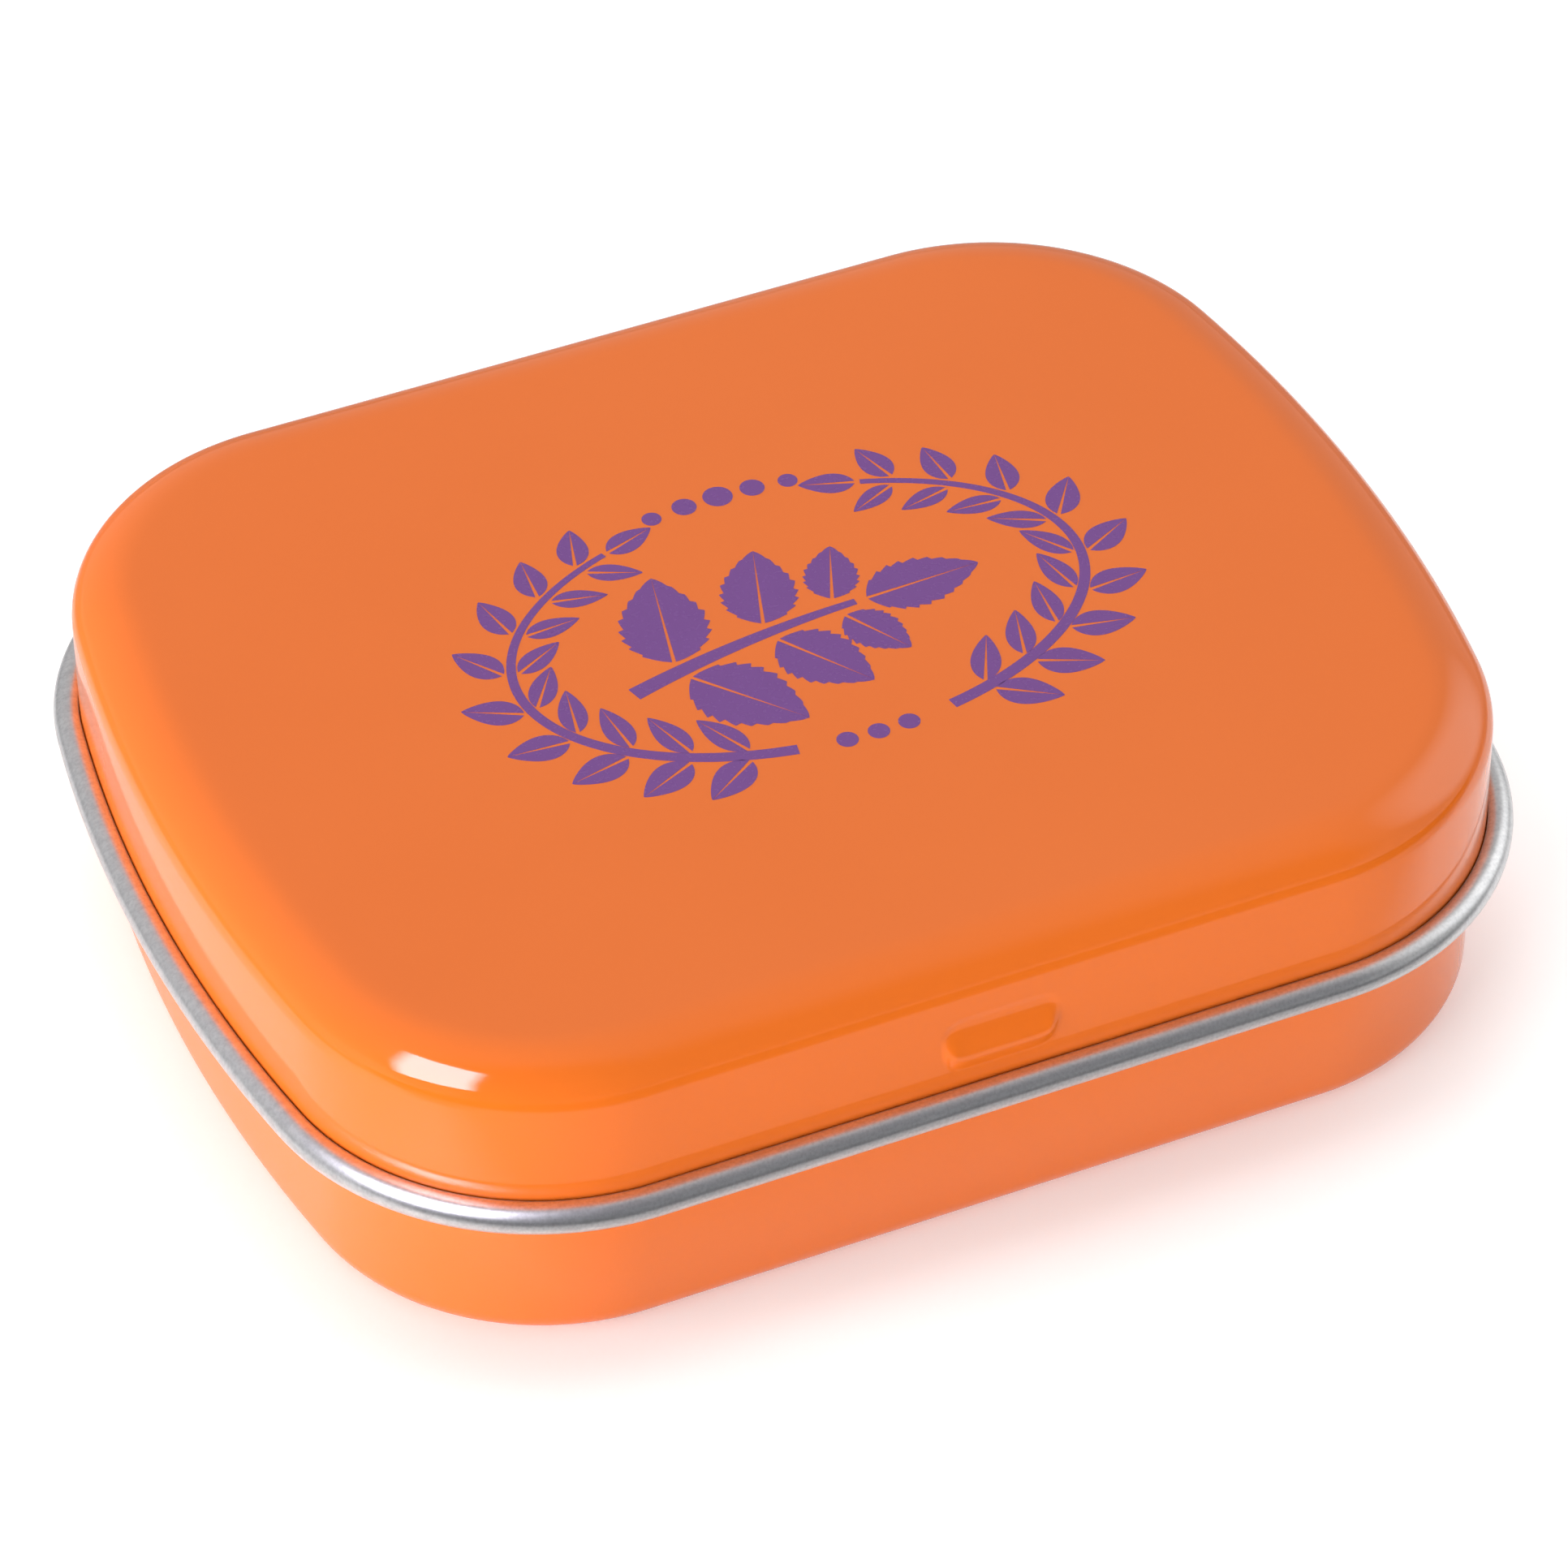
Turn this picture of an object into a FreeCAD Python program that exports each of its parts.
import FreeCAD, Part

# A hinged pocket tin for mints, drawn from two sheets of tinplate.
# Units are millimetres. The origin is the middle of the base's underside.
# +X runs along the tin, +Y points to the hinge at the back, +Z is up.

import enum
import math
import os

import Sketcher
from FreeCAD import Vector

# Driving dimensions, in millimetres and degrees.
SIZES = {
    # Plan of the lid's outer wall: straight long sides, round corners, bowed ends.
    "lid_length": 59.5,
    "lid_width": 48.1,
    "corner_radius": 12.4,
    "end_radius": 80,
    # Thickness of the tinplate.
    "plate": 0.22,
    # Lid: overall height of the closed tin, and the two arcs from wall to top.
    "tin_height": 16,
    "shoulder_radius": 1.6,
    "crown_radius": 4,
    "shoulder_turn": 55,
    # Bead: the lid's lower edge, rolled outwards almost full circle.
    "bead_height": 8.45,
    "bead_radius": 0.72,
    "bead_lip_angle": 55,
    # Base: its wall stands inside the lid's with this gap, its rim below the lid's top.
    "lid_gap": 0.35,
    "foot_radius": 1.34,
    "rim_headroom": 2.88,
    "rim_radius": 0.65,
    "rim_lip_angle": -45,
    # Catch: a dimple pressed into the lid's front wall, just under the base's rim.
    "catch_length": 5.6,
    "catch_width": 2.2,
    "catch_drop": 0.25,
    "catch_gap": 0.11,
    "catch_taper": 45,
    # Hinge: two ears of the base's wall, bent through slots and round the bead.
    "ear_width": 5,
    "ear_margin": 2.8,
    "ear_bend_radius": 1.2,
    "ear_end_angle": -120,
    "hinge_gap": 0.08,
    "slot_height": 1.2,
    "slot_side_gap": 0.2,
    "notch_side_gap": 0.3,
    # Mints: a round band between two domes, lying in two uneven layers.
    "mint_diameter": 8,
    "mint_thickness": 4,
    "mint_band": 2.5,
    "mint_gap": 0.4,
    "mint_wander": 0.1,
    "mint_tilt": 4,
    "mint_seat_gap": 0.03,
    "mint_layer_gap": 0.35,
    # How far every cut runs past the metal.
    "overrun": 1,
}

# Sizes that follow from the driving ones.
DERIVED = {
    "half_length": "Sizes.lid_length / 2",
    "half_width": "Sizes.lid_width / 2",
    "shoulder_run": "Sizes.shoulder_radius * (1 - cos(Sizes.shoulder_turn * 1 deg))"
                    " + Sizes.crown_radius * cos(Sizes.shoulder_turn * 1 deg)",
    "shoulder_rise": "Sizes.shoulder_radius * sin(Sizes.shoulder_turn * 1 deg)"
                     " + Sizes.crown_radius * (1 - sin(Sizes.shoulder_turn * 1 deg))",
    "bead_offset": "Sizes.bead_radius - Sizes.plate",
    "base_inset": "Sizes.plate + Sizes.lid_gap",
    "floor_inset": "Derived.base_inset + Sizes.foot_radius",
    "rim_height": "Sizes.tin_height - Sizes.plate - Sizes.rim_headroom",
    "rim_center": "Derived.rim_height - Sizes.rim_radius",
    "catch_height": "Derived.rim_center - Sizes.catch_drop",
    "catch_depth": "Sizes.lid_gap - Sizes.catch_gap",
    "ear_inner": "Sizes.bead_radius + Sizes.hinge_gap",
    "ear_outer": "Derived.ear_inner + Sizes.plate",
    "ear_wall": "Derived.half_width - Derived.base_inset",
    "hinge_y": "Derived.half_width + Derived.bead_offset",
    "ear_lean": "Derived.hinge_y - Derived.ear_wall - Sizes.ear_bend_radius",
    "ear_drop": "sqrt(pow(Sizes.ear_bend_radius - Derived.ear_inner; 2) - pow(Derived.ear_lean; 2))",
    "ear_root": "Sizes.bead_height - Derived.ear_drop",
    "straight_run": "sqrt(pow(Sizes.end_radius - Sizes.corner_radius; 2)"
                    " - pow(Derived.half_width - Sizes.corner_radius; 2))",
    "straight_half": "Derived.half_length - Sizes.end_radius + Derived.straight_run",
    "ear_x": "Derived.straight_half - Sizes.ear_margin - Sizes.ear_width / 2",
    "lip_gap": "Derived.bead_offset - Sizes.bead_radius * cos(Sizes.bead_lip_angle * 1 deg)",
    "no_inset": "0",
    "no_rim": "0",
    "bump_rim": "Sizes.plate",
}

doc = FreeCAD.newDocument("MintTin")


# Sheet of driving dimensions and set of derived ones
sheet = doc.addObject("Spreadsheet::Sheet", "Sizes")
for row, (alias, number) in enumerate(SIZES.items(), start=1):
    sheet.set(f"A{row}", alias)
    sheet.set(f"B{row}", str(number))
    sheet.setAlias(f"B{row}", alias)
doc.recompute()

derived = doc.addObject("App::VarSet", "Derived")
for name, formula in DERIVED.items():
    derived.addProperty("App::PropertyFloat", name)
    derived.setExpression(name, formula)
doc.recompute()


def size(name):
    """A driving or derived size, as a number."""
    if name in SIZES:
        return float(sheet.get(name))
    return float(getattr(derived, name))


def end_angle():
    """Angle, seen from a bowed end's centre, where the end meets its corner."""
    return math.atan2(size("half_width") - size("corner_radius"), size("straight_run"))


# Sketch helpers
def add_sketch(body, name, plane, offset=None):
    """A sketch on one of the body's own origin planes, moved off it by an expression."""
    sketch = body.newObject("Sketcher::SketchObject", name)
    origin_plane = next(item for item in body.Origin.OriginFeatures if item.Role == plane)
    sketch.AttachmentSupport = [(origin_plane, "")]
    sketch.MapMode = "FlatFace"
    if offset:
        sketch.setExpression("AttachmentOffset.Base.z", offset)
    return sketch


def arc(center, radius, start, end):
    """An arc of a circle, anticlockwise, with its angles in radians."""
    circle = Part.Circle(Vector(*center, 0), Vector(0, 0, 1), radius)
    return Part.ArcOfCircle(circle, start, end)


def line(start, end):
    """A straight edge."""
    return Part.LineSegment(Vector(*start, 0), Vector(*end, 0))


def spoke(center, start, end, angle):
    """A straight edge on a ray from a centre, from one radius to another."""
    across, up = math.cos(angle), math.sin(angle)
    return line((center[0] + start * across, center[1] + start * up),
                (center[0] + end * across, center[1] + end * up))


def hold(sketch, *constraint):
    """A constraint with no size of its own."""
    sketch.addConstraint(Sketcher.Constraint(*constraint))


def bind(sketch, expression, *constraint):
    """A constraint whose size follows an expression."""
    number = sketch.addConstraint(Sketcher.Constraint(*constraint))
    sketch.setExpression(f"Constraints[{number}]", expression)


# Numbers that a sketch gives to the points of an edge and to its own two axes.
Point = enum.IntEnum("Point", "START END CENTER")
Axis = enum.IntEnum("Axis", "Y X", start=-2)
START, END, CENTER = Point
AXIS_Y, AXIS_X = Axis
ORIGIN = (AXIS_X, START)


def draw_plan(sketch, inset_name):
    """The tin's plan, drawn an inset inside the lid's outer wall.

    Nine edges run anticlockwise from the middle of the front: half of the front
    line, corner, bowed end, corner, back line, corner, bowed end, corner, and the
    other half of the front line. Every joint but the first is tangent.
    """
    inset = size(inset_name)
    straight, beta = size("straight_half"), end_angle()
    half_width = size("half_width") - inset
    corner = size("corner_radius") - inset
    end = size("end_radius") - inset
    rise = size("half_width") - size("corner_radius")
    bow = size("half_length") - size("end_radius")
    quarter = math.pi / 2
    edges = [
        line((0, -half_width), (straight, -half_width)),
        arc((straight, -rise), corner, -quarter, -beta),
        arc((bow, 0), end, -beta, beta),
        arc((straight, rise), corner, beta, quarter),
        line((straight, half_width), (-straight, half_width)),
        arc((-straight, rise), corner, quarter, math.pi - beta),
        arc((-bow, 0), end, math.pi - beta, math.pi + beta),
        arc((-straight, -rise), corner, math.pi + beta, 3 * quarter),
        line((-straight, -half_width), (0, -half_width)),
    ]
    sketch.addGeometry(edges)
    last = len(edges) - 1
    for edge in range(last):
        hold(sketch, "Tangent", edge, END, edge + 1, START)
    hold(sketch, "Coincident", last, END, 0, START)
    hold(sketch, "PointOnObject", 0, START, AXIS_Y)
    for edge in (0, 4, last):
        hold(sketch, "Horizontal", edge)
    for edge in (2, 6):
        hold(sketch, "PointOnObject", edge, CENTER, AXIS_X)
    for edge in (3, 5, 7):
        hold(sketch, "Equal", 1, edge)
    hold(sketch, "Equal", 2, 6)
    inset_text = f"Derived.{inset_name}"
    width_text = f"Derived.half_width - {inset_text}"
    bow_text = "Derived.half_length - Sizes.end_radius"
    bind(sketch, f"Sizes.corner_radius - {inset_text}", "Radius", 1, corner)
    bind(sketch, f"Sizes.end_radius - {inset_text}", "Radius", 2, end)
    bind(sketch, bow_text, "DistanceX", *ORIGIN, 2, CENTER, bow)
    bind(sketch, f"-({bow_text})", "DistanceX", *ORIGIN, 6, CENTER, -bow)
    bind(sketch, f"-({width_text})", "DistanceY", *ORIGIN, 0, START, -half_width)
    bind(sketch, width_text, "DistanceY", *ORIGIN, 4, START, half_width)


def draw_lid_section(sketch):
    """The lid's sheet at the front: crown, shoulder, wall and bead."""
    plate = size("plate")
    wall = -size("half_width")
    turn = math.radians(size("shoulder_turn"))
    lip = math.radians(size("bead_lip_angle"))
    crown, shoulder = size("crown_radius"), size("shoulder_radius")
    top, low = size("tin_height"), size("bead_height")
    wall_top = top - size("shoulder_rise")
    crown_center = (wall + size("shoulder_run"), top - crown)
    shoulder_center = (wall + shoulder, wall_top)
    bead_center = (wall - size("bead_offset"), low)
    quarter = math.pi / 2
    edges = [
        arc(crown_center, crown, quarter, math.pi - turn),
        arc(shoulder_center, shoulder, math.pi - turn, math.pi),
        line((wall, wall_top), (wall, low)),
        arc(bead_center, size("bead_offset"), lip, 2 * math.pi),
        spoke(bead_center, size("bead_offset"), size("bead_radius"), lip),
        arc(bead_center, size("bead_radius"), lip, 2 * math.pi),
        line((wall + plate, low), (wall + plate, wall_top)),
        arc(shoulder_center, shoulder - plate, math.pi - turn, math.pi),
        arc(crown_center, crown - plate, quarter, math.pi - turn),
        line((crown_center[0], top - plate), (crown_center[0], top)),
    ]
    sketch.addGeometry(edges)
    hold(sketch, "Tangent", 0, END, 1, START)
    hold(sketch, "Tangent", 1, END, 2, START)
    hold(sketch, "Tangent", 2, END, 3, END)
    hold(sketch, "Coincident", 3, START, 4, START)
    hold(sketch, "Coincident", 4, END, 5, START)
    hold(sketch, "Tangent", 5, END, 6, START)
    hold(sketch, "Tangent", 6, END, 7, END)
    hold(sketch, "Tangent", 7, START, 8, END)
    hold(sketch, "Coincident", 8, START, 9, START)
    hold(sketch, "Coincident", 9, END, 0, START)
    for inner, outer in ((8, 0), (7, 1), (3, 5)):
        hold(sketch, "Coincident", inner, CENTER, outer, CENTER)
    for upright in (2, 6, 9):
        hold(sketch, "Vertical", upright)
    hold(sketch, "PointOnObject", 3, CENTER, 4)
    hold(sketch, "PointOnObject", 0, CENTER, 9)
    bind(sketch, "Sizes.crown_radius", "Radius", 0, crown)
    bind(sketch, "Sizes.shoulder_radius", "Radius", 1, shoulder)
    bind(sketch, "Derived.bead_offset", "Radius", 3, size("bead_offset"))
    bind(sketch, "Sizes.bead_radius", "Radius", 5, size("bead_radius"))
    bind(sketch, "-Derived.half_width", "DistanceX", *ORIGIN, 2, END, wall)
    bind(sketch, "Sizes.bead_height", "DistanceY", *ORIGIN, 3, CENTER, low)
    bind(sketch, "Sizes.tin_height", "DistanceY", *ORIGIN, 0, START, top)
    bind(sketch, "Sizes.shoulder_turn * 1 deg", "Angle", 1, turn)
    bind(sketch, "Sizes.bead_lip_angle * 1 deg", "Angle", 4, lip)


def draw_base_section(sketch):
    """The base's sheet at the front: foot, wall and rim rolled inwards."""
    plate = size("plate")
    wall = -size("ear_wall")
    foot, rim = size("foot_radius"), size("rim_radius")
    lip = math.radians(size("rim_lip_angle"))
    foot_center = (wall + foot, foot)
    rim_center = (wall + rim, size("rim_center"))
    edges = [
        arc(foot_center, foot, math.pi, 3 * math.pi / 2),
        line((wall, foot), (wall, rim_center[1])),
        arc(rim_center, rim, lip, math.pi),
        spoke(rim_center, rim, rim - plate, lip),
        arc(rim_center, rim - plate, lip, math.pi),
        line((wall + plate, rim_center[1]), (wall + plate, foot)),
        arc(foot_center, foot - plate, math.pi, 3 * math.pi / 2),
        line((foot_center[0], plate), (foot_center[0], 0)),
    ]
    sketch.addGeometry(edges)
    hold(sketch, "Tangent", 0, START, 1, START)
    hold(sketch, "Tangent", 1, END, 2, END)
    hold(sketch, "Coincident", 2, START, 3, START)
    hold(sketch, "Coincident", 3, END, 4, START)
    hold(sketch, "Tangent", 4, END, 5, START)
    hold(sketch, "Tangent", 5, END, 6, START)
    hold(sketch, "Coincident", 6, END, 7, START)
    hold(sketch, "Coincident", 7, END, 0, END)
    hold(sketch, "Coincident", 6, CENTER, 0, CENTER)
    hold(sketch, "Coincident", 4, CENTER, 2, CENTER)
    for upright in (1, 5, 7):
        hold(sketch, "Vertical", upright)
    hold(sketch, "PointOnObject", 2, CENTER, 3)
    hold(sketch, "PointOnObject", 0, CENTER, 7)
    hold(sketch, "PointOnObject", 0, END, AXIS_X)
    bind(sketch, "Sizes.foot_radius", "Radius", 0, foot)
    bind(sketch, "Sizes.rim_radius", "Radius", 2, rim)
    bind(sketch, "Sizes.rim_radius - Sizes.plate", "Radius", 4, rim - plate)
    bind(sketch, "-Derived.ear_wall", "DistanceX", *ORIGIN, 1, START, wall)
    bind(sketch, "Derived.rim_center", "DistanceY", *ORIGIN, 2, CENTER, rim_center[1])
    bind(sketch, "Sizes.rim_lip_angle * 1 deg + 180 deg", "Angle", 3, lip + math.pi)


# Shells
def add_shell(label, draw_section, path_inset, panel_inset, panel_height):
    """A drawn sheet: a flat panel, and a section carried round the plan."""
    body = doc.addObject("PartDesign::Body", label)
    body.Label = label
    outline = add_sketch(body, f"{label}_panel_plan", "XY_Plane", panel_height)
    draw_plan(outline, panel_inset)
    panel = body.newObject("PartDesign::Pad", f"{label}_panel")
    panel.Profile = outline
    panel.setExpression("Length", "Sizes.plate")
    path = add_sketch(body, f"{label}_path", "XY_Plane")
    draw_plan(path, path_inset)
    section = add_sketch(body, f"{label}_section", "YZ_Plane")
    draw_section(section)
    doc.recompute()
    wall = body.newObject("PartDesign::AdditivePipe", f"{label}_wall")
    wall.Profile = section
    wall.Spine = (path, [f"Edge{number}" for number in range(1, path.GeometryCount + 1)])
    doc.recompute()
    return body


top_height = "Sizes.tin_height - Sizes.plate"
lid = add_shell("lid_shell", draw_lid_section, "no_inset", "shoulder_run", top_height)
base = add_shell("base_shell", draw_base_section, "base_inset", "floor_inset", None)


# Cuts and raised details of the shells
def draw_rectangle(sketch, left, right, low, high):
    """A rectangle whose four sides follow expressions."""
    corners = [(0, 0), (1, 0), (1, 1), (0, 1)]
    for number, corner in enumerate(corners):
        sketch.addGeometry(line(corner, corners[(number + 1) % 4]))
    for number in range(4):
        hold(sketch, "Coincident", number, END, (number + 1) % 4, START)
    for side in (0, 2):
        hold(sketch, "Horizontal", side)
    for side in (1, 3):
        hold(sketch, "Vertical", side)
    bind(sketch, left, "DistanceX", *ORIGIN, 0, START, 0)
    bind(sketch, right, "DistanceX", *ORIGIN, 1, START, 1)
    bind(sketch, low, "DistanceY", *ORIGIN, 0, START, 0)
    bind(sketch, high, "DistanceY", *ORIGIN, 2, START, 1)


def draw_pill(sketch, rim):
    """The catch's pill on the front wall, with its edge a rim's width outside the dimple's."""
    half = size("catch_width") / 2 + size(rim)
    reach = (size("catch_length") - size("catch_width")) / 2
    middle = size("catch_height")
    quarter = math.pi / 2
    sketch.addGeometry([
        line((-reach, middle - half), (reach, middle - half)),
        arc((reach, middle), half, -quarter, quarter),
        line((reach, middle + half), (-reach, middle + half)),
        arc((-reach, middle), half, quarter, 3 * quarter),
    ])
    for edge in range(4):
        hold(sketch, "Tangent", edge, END, (edge + 1) % 4, START)
    for side in (0, 2):
        hold(sketch, "Horizontal", side)
    reach_text = "(Sizes.catch_length - Sizes.catch_width) / 2"
    bind(sketch, f"Sizes.catch_width / 2 + Derived.{rim}", "Radius", 1, half)
    bind(sketch, reach_text, "DistanceX", *ORIGIN, 1, CENTER, reach)
    bind(sketch, f"-{reach_text}", "DistanceX", *ORIGIN, 3, CENTER, -reach)
    bind(sketch, "Derived.catch_height", "DistanceY", *ORIGIN, 1, CENTER, middle)


def add_cut(body, name, sketch, length, inwards):
    """A pocket that has to take metal away."""
    doc.recompute()
    before = body.Shape.Volume
    cut = body.newObject("PartDesign::Pocket", name)
    cut.Profile = sketch
    cut.Reversed = inwards
    cut.setExpression("Length", length)
    doc.recompute()
    if body.Shape.Volume >= before:
        raise RuntimeError(f"{name} cuts nothing")
    return cut


def add_catch(body):
    """The dimple: a bump inside the front wall, hollow from outside."""
    inner_face = "Derived.half_width - Sizes.plate"
    bump_sketch = add_sketch(body, "catch_bump_outline", "XZ_Plane", inner_face)
    draw_pill(bump_sketch, "bump_rim")
    bump = body.newObject("PartDesign::Pad", "catch_bump")
    bump.Profile = bump_sketch
    bump.Reversed = True
    bump.setExpression("Length", "Derived.catch_depth")
    bump.setExpression("TaperAngle", "-Sizes.catch_taper")
    hollow_sketch = add_sketch(body, "catch_hollow_outline", "XZ_Plane", "Derived.half_width")
    draw_pill(hollow_sketch, "no_rim")
    hollow = add_cut(body, "catch_hollow", hollow_sketch, "Derived.catch_depth", False)
    hollow.setExpression("TaperAngle", "-Sizes.catch_taper")
    doc.recompute()


def span(side, half):
    """Left and right edges of something centred on the ear of one side."""
    middle = f"({side} * Derived.ear_x)"
    return f"{middle} - ({half})", f"{middle} + ({half})"


def add_slot(body, side):
    """The slot in the lid's back wall, just above the bead, that an ear passes through."""
    half = "Sizes.ear_width / 2 + Sizes.slot_side_gap"
    start = "-Derived.half_width - Derived.lip_gap / 2"
    sketch = add_sketch(body, f"slot_outline_{side}", "XZ_Plane", start)
    top = "Sizes.bead_height + Sizes.slot_height"
    draw_rectangle(sketch, *span(side, half), "Sizes.bead_height", top)
    length = "Derived.lip_gap / 2 + Sizes.plate + Sizes.overrun"
    add_cut(body, f"slot_{side}", sketch, length, True)


def add_notch(body, side):
    """The gap in the base's back wall and rim where an ear was bent out."""
    half = "Sizes.ear_width / 2 + Sizes.notch_side_gap"
    sketch = add_sketch(body, f"notch_outline_{side}", "XZ_Plane", "-Derived.ear_wall - Sizes.overrun")
    top = "Derived.rim_height + Sizes.overrun"
    draw_rectangle(sketch, *span(side, half), "Derived.ear_root", top)
    length = "2 * Sizes.overrun + 2 * Sizes.rim_radius"
    add_cut(body, f"notch_{side}", sketch, length, True)


def add_ear(body, side):
    """An ear: the wall's sheet bent outwards over the bead and rolled round it."""
    sketch = add_sketch(body, f"ear_section_{side}", "YZ_Plane", f"{side} * Derived.ear_x")
    plate, bend = size("plate"), size("ear_bend_radius")
    inner, outer = size("ear_inner"), size("ear_outer")
    tip = math.radians(size("ear_end_angle"))
    wall, root = size("ear_wall"), size("ear_root")
    bend_center = (wall + bend, root)
    hinge = (size("hinge_y"), size("bead_height"))
    meet = math.atan2(size("ear_drop"), size("ear_lean"))
    sketch.addGeometry([
        arc(bend_center, bend, meet, math.pi),
        arc(hinge, inner, tip, meet),
        spoke(hinge, inner, outer, tip),
        arc(hinge, outer, tip, meet),
        arc(bend_center, bend + plate, meet, math.pi),
        line((wall - plate, root), (wall, root)),
    ])
    hold(sketch, "Tangent", 0, START, 1, END)
    hold(sketch, "Tangent", 3, END, 4, START)
    hold(sketch, "Coincident", 1, START, 2, START)
    hold(sketch, "Coincident", 2, END, 3, START)
    hold(sketch, "Coincident", 4, END, 5, START)
    hold(sketch, "Coincident", 5, END, 0, END)
    hold(sketch, "Coincident", 0, CENTER, 4, CENTER)
    hold(sketch, "Coincident", 1, CENTER, 3, CENTER)
    hold(sketch, "Horizontal", 5)
    hold(sketch, "PointOnObject", 0, CENTER, 5)
    hold(sketch, "PointOnObject", 1, CENTER, 2)
    bind(sketch, "Sizes.ear_bend_radius", "Radius", 0, bend)
    bind(sketch, "Derived.ear_inner", "Radius", 1, inner)
    bind(sketch, "Derived.ear_outer", "Radius", 3, outer)
    bind(sketch, "Derived.hinge_y", "DistanceX", *ORIGIN, 1, CENTER, hinge[0])
    bind(sketch, "Sizes.bead_height", "DistanceY", *ORIGIN, 1, CENTER, hinge[1])
    bind(sketch, "Derived.ear_wall", "DistanceX", *ORIGIN, 5, END, wall)
    bind(sketch, "Sizes.ear_end_angle * 1 deg", "Angle", 2, tip)
    ear = body.newObject("PartDesign::Pad", f"ear_{side}")
    ear.Profile = sketch
    ear.SideType = "Symmetric"
    ear.setExpression("Length", "Sizes.ear_width")
    doc.recompute()


add_catch(lid)
for side in (-1, 1):
    add_slot(lid, side)
    add_notch(base, side)
    add_ear(base, side)


# Mints
def draw_mint(sketch):
    """Half of a mint's section: axis, lower dome, band and upper dome."""
    radius = size("mint_diameter") / 2
    half_band = size("mint_band") / 2
    half = size("mint_thickness") / 2
    crown = half - half_band
    dome = (radius ** 2 + crown ** 2) / (2 * crown)
    sweep = math.asin(radius / dome)
    quarter = math.pi / 2
    sketch.addGeometry([
        arc((0, dome - half), dome, -quarter, sweep - quarter),
        line((radius, -half_band), (radius, half_band)),
        arc((0, half - dome), dome, quarter - sweep, quarter),
        line((0, half), (0, -half)),
    ])
    hold(sketch, "Coincident", 0, END, 1, START)
    hold(sketch, "Coincident", 1, END, 2, START)
    hold(sketch, "Coincident", 2, END, 3, START)
    hold(sketch, "Coincident", 3, END, 0, START)
    hold(sketch, "PointOnObject", 0, CENTER, AXIS_Y)
    hold(sketch, "PointOnObject", 2, CENTER, AXIS_Y)
    hold(sketch, "PointOnObject", 3, START, AXIS_Y)
    hold(sketch, "PointOnObject", 3, END, AXIS_Y)
    hold(sketch, "Vertical", 1)
    bind(sketch, "Sizes.mint_diameter / 2", "DistanceX", *ORIGIN, 1, START, radius)
    bind(sketch, "-Sizes.mint_band / 2", "DistanceY", *ORIGIN, 1, START, -half_band)
    bind(sketch, "Sizes.mint_band / 2", "DistanceY", *ORIGIN, 1, END, half_band)
    bind(sketch, "Sizes.mint_thickness / 2", "DistanceY", *ORIGIN, 3, START, half)
    bind(sketch, "-Sizes.mint_thickness / 2", "DistanceY", *ORIGIN, 3, END, -half)


def add_mint(number, place, tilt, heading):
    """One loose mint, its middle at a place, tilted towards a heading."""
    label = f"mint_{number:02d}"
    body = doc.addObject("PartDesign::Body", label)
    body.Label = label
    sketch = add_sketch(body, f"{label}_section", "XZ_Plane")
    draw_mint(sketch)
    solid = body.newObject("PartDesign::Revolution", f"{label}_solid")
    solid.Profile = sketch
    solid.ReferenceAxis = (sketch, ["V_Axis"])
    hinge_line = Vector(-math.sin(heading), math.cos(heading), 0)
    body.Placement = FreeCAD.Placement(place, FreeCAD.Rotation(hinge_line, tilt))
    return body


def reach_along(y, inset):
    """How far the plan reaches along X at this y, an inset inside the lid's wall."""
    rise = size("half_width") - size("corner_radius")
    corner = size("corner_radius") - inset
    end = size("end_radius") - inset
    if abs(y) > rise + corner:
        return None
    if abs(y) < end * math.sin(end_angle()):
        return size("half_length") - size("end_radius") + math.sqrt(end ** 2 - y ** 2)
    return size("straight_half") + math.sqrt(corner ** 2 - (abs(y) - rise) ** 2)


def lattice(pitch, shift):
    """Places of a hexagonal layer of mints that fit inside the base, row by row."""
    inset = size("base_inset") + size("plate") + size("mint_gap") + size("mint_diameter") / 2
    row_pitch = pitch * math.sqrt(3) / 2
    rows = math.ceil(size("lid_width") / row_pitch)
    columns = math.ceil(size("lid_length") / pitch)
    for row in range(-rows, rows + 1):
        y = row * row_pitch + shift[1]
        reach = reach_along(y, inset)
        if reach is None:
            continue
        for column in range(-columns, columns + 1):
            x = (column + 0.5 * (row % 2)) * pitch + shift[0]
            if abs(x) <= reach:
                yield row, column, x, y


GOLDEN_SHARE = 0.618


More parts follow.
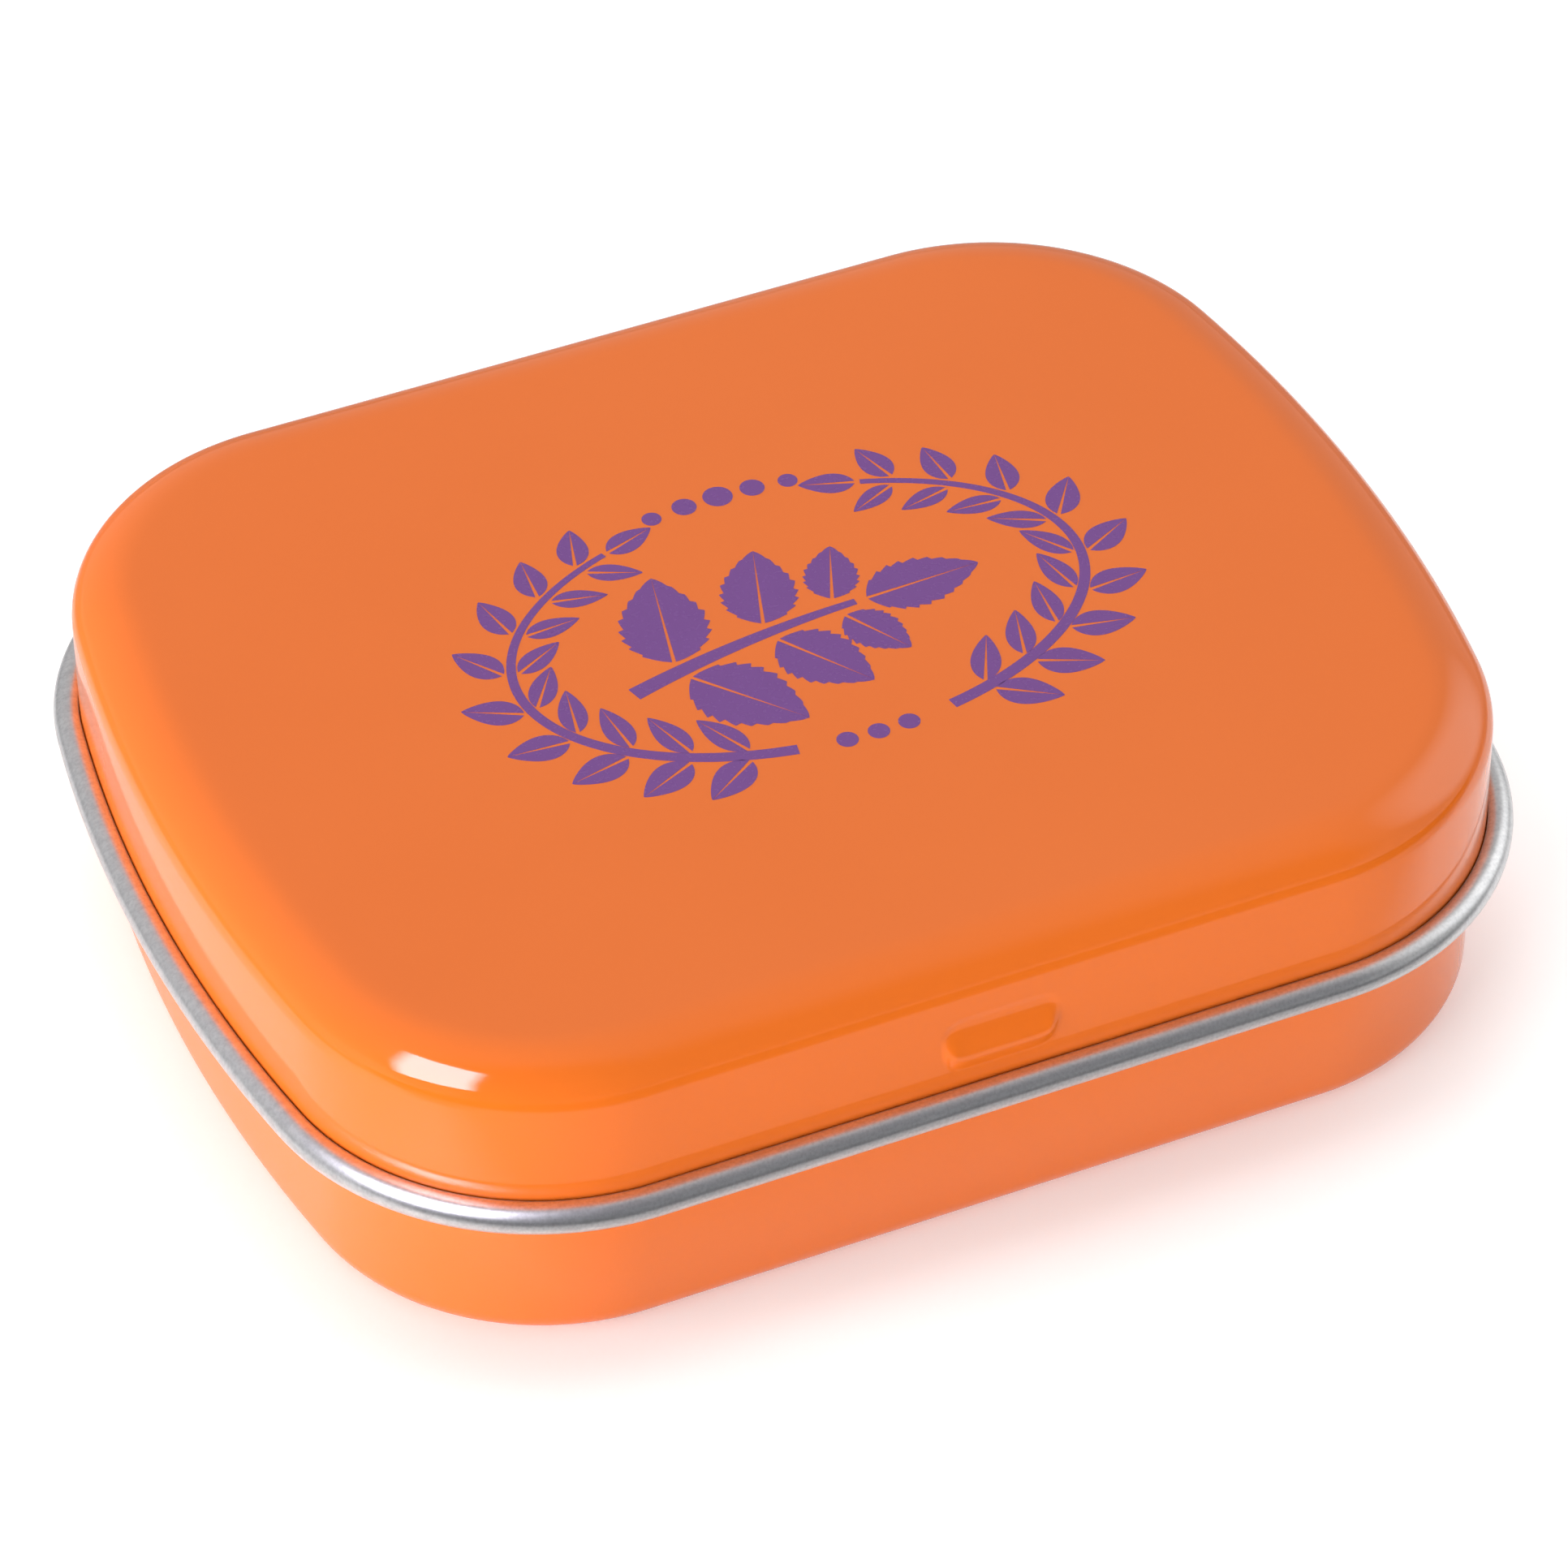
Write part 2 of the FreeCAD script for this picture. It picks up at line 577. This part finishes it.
def scatter(number):
    """A spread of values from -1 to 1 that looks uneven and never repeats."""
    return 2 * (number * GOLDEN_SHARE % 1) - 1


def lay_mint(x, y, floor, dome):
    """A mint laid on a level, off its place by a little and rocked on its lower dome."""
    number = len(mints) + 1
    tilt = size("mint_tilt") * scatter(number)
    heading = math.pi * scatter(3 * number)
    wander = size("mint_wander")
    rock = dome - size("mint_thickness") / 2
    height = floor + dome - rock * math.cos(math.radians(tilt))
    place = Vector(x + wander * scatter(5 * number), y + wander * scatter(7 * number), height)
    mints.append(add_mint(number, place, tilt, heading))


def is_missing(row, column):
    """Two of every five hollows of the upper layer have lost their mint."""
    return (2 * row + 3 * column) % 5 in (0, 2)


pitch = size("mint_diameter") + size("mint_gap")
crown = (size("mint_thickness") - size("mint_band")) / 2
dome = (size("mint_diameter") ** 2 / 4 + crown ** 2) / (2 * crown)
hollow = pitch / math.sqrt(3)
nest_rise = size("mint_thickness") - 2 * dome + math.sqrt(4 * dome ** 2 - hollow ** 2)
lower_floor = size("plate") + size("mint_seat_gap")
upper_floor = lower_floor + nest_rise + size("mint_layer_gap")

mints = []
for row, column, x, y in lattice(pitch, (0, 0)):
    lay_mint(x, y, lower_floor, dome)
for row, column, x, y in lattice(pitch, (pitch / 2, hollow / 2)):
    if not is_missing(row, column):
        lay_mint(x, y, upper_floor, dome)
doc.recompute()


# Check and write
pieces = [lid, base] + mints
for item in doc.Objects:
    if "Invalid" in item.State or "Error" in item.State:
        raise RuntimeError(f"{item.Name} failed: {item.State}")
    if item.isDerivedFrom("Sketcher::SketchObject") and not item.FullyConstrained:
        raise RuntimeError(f"{item.Name} is not fully held by its sizes")
for piece in pieces:
    if piece.Shape.isNull() or not piece.Shape.isValid():
        raise RuntimeError(f"{piece.Label} has no sound solid")
    if len(piece.Shape.Solids) != 1:
        raise RuntimeError(f"{piece.Label} is not one solid")
os.makedirs("parts", exist_ok=True)
for piece in pieces:
    piece.Shape.exportStep(f"parts/{piece.Label}.step")
print(len(pieces), "pieces written")
